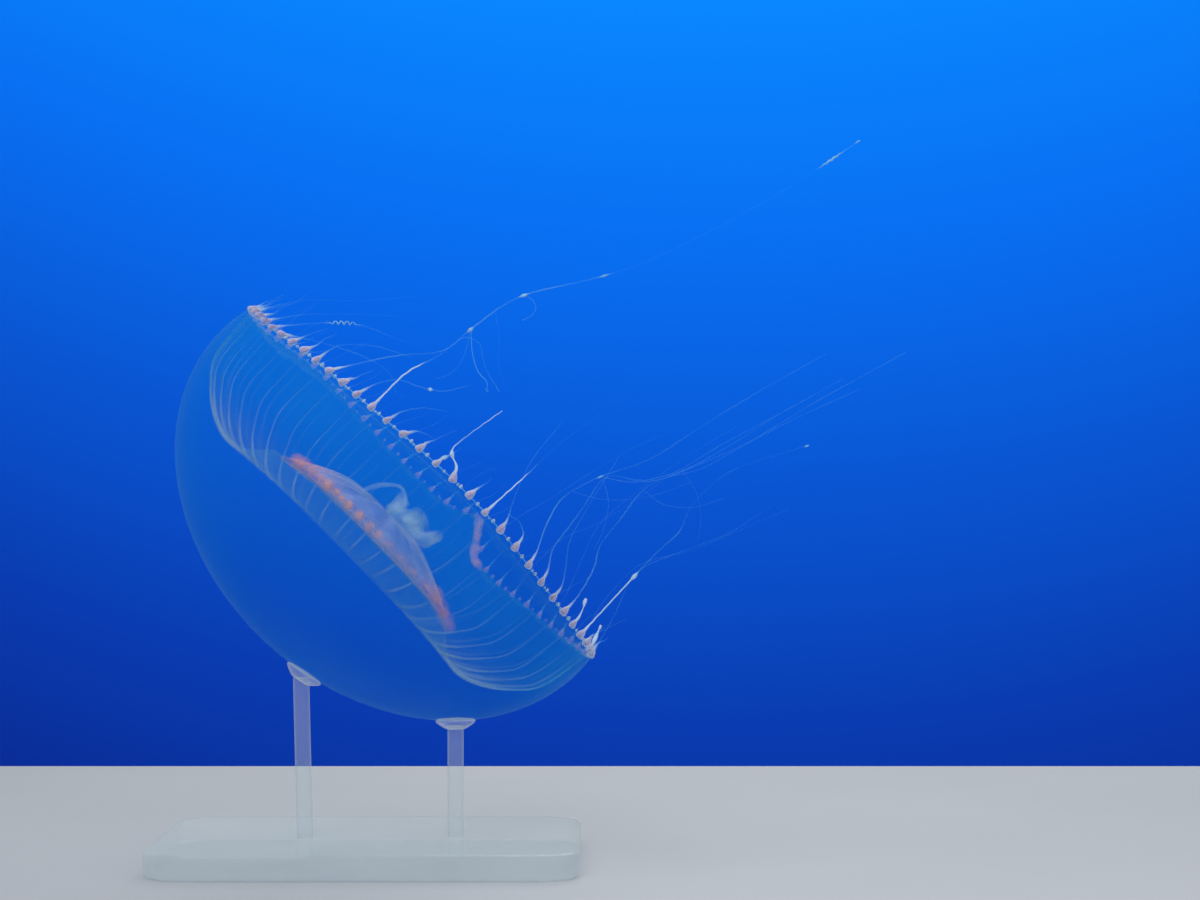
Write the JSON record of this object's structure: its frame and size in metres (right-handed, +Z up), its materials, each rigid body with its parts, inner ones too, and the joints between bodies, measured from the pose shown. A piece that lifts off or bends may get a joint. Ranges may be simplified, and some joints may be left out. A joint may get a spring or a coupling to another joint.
{
  "type": "crystal jellyfish model on a display stand",
  "caption": "Life-size museum model of a crystal jellyfish, swimming crown down at a slant with its fine tentacles trailing, held by slim clear rods on a flat clear base.",
  "frame": {"origin": "centre of the underside of the stand's base", "axes": "+Z up, +X towards the trailing tips of the tentacles, +Y away from the viewer; the crown points to -X and down"},
  "size_m": [0.1456, 0.1002, 0.1388],
  "materials": {
    "jelly": "clear, wet and smooth",
    "membrane": "thin, milky and wet",
    "lips": "milky white, frilled",
    "canal": "fine whitish lines",
    "bulb": "pink-orange with white streaks",
    "thread": "fine bluish-white threads",
    "acrylic": "polished clear acrylic"
  },
  "bodies": {
    "root": {"bell": "jelly", "canals_1": "canal", "canals_2": "canal", "canals_3": "canal", "canals_4": "canal", "canals_5": "canal", "canals_6": "canal", "margin_1": "bulb", "margin_10": "bulb", "margin_11": "bulb", "margin_2": "bulb", "margin_3": "bulb", "margin_4": "bulb", "margin_5": "bulb", "margin_6": "bulb", "margin_7": "bulb", "margin_8": "bulb", "margin_9": "bulb", "mouth_lips": "lips", "stand_base": "acrylic", "stand_rod_left": "acrylic", "stand_rod_right": "acrylic", "stomach": "membrane", "tentacle_0_1": "thread", "tentacle_11_1": "thread", "tentacle_11_2": "thread", "tentacle_11_3": "thread", "tentacle_18_1": "thread", "tentacle_19_1": "thread", "tentacle_21_1": "thread", "tentacle_21_2": "thread", "tentacle_22_1": "thread", "tentacle_22_2": "thread", "tentacle_23_1": "thread", "tentacle_24_1": "thread", "tentacle_24_2": "thread", "tentacle_26_1": "thread", "tentacle_26_2": "thread", "tentacle_2_1": "thread", "tentacle_30_1": "thread", "tentacle_33_1": "thread", "tentacle_33_2": "thread", "tentacle_36_1": "thread", "tentacle_36_2": "thread", "tentacle_39_1": "thread", "tentacle_3_1": "thread", "tentacle_42_1": "thread", "tentacle_4_1": "thread", "tentacle_8_1": "thread", "velum": "membrane"}
  },
  "joints": []
}
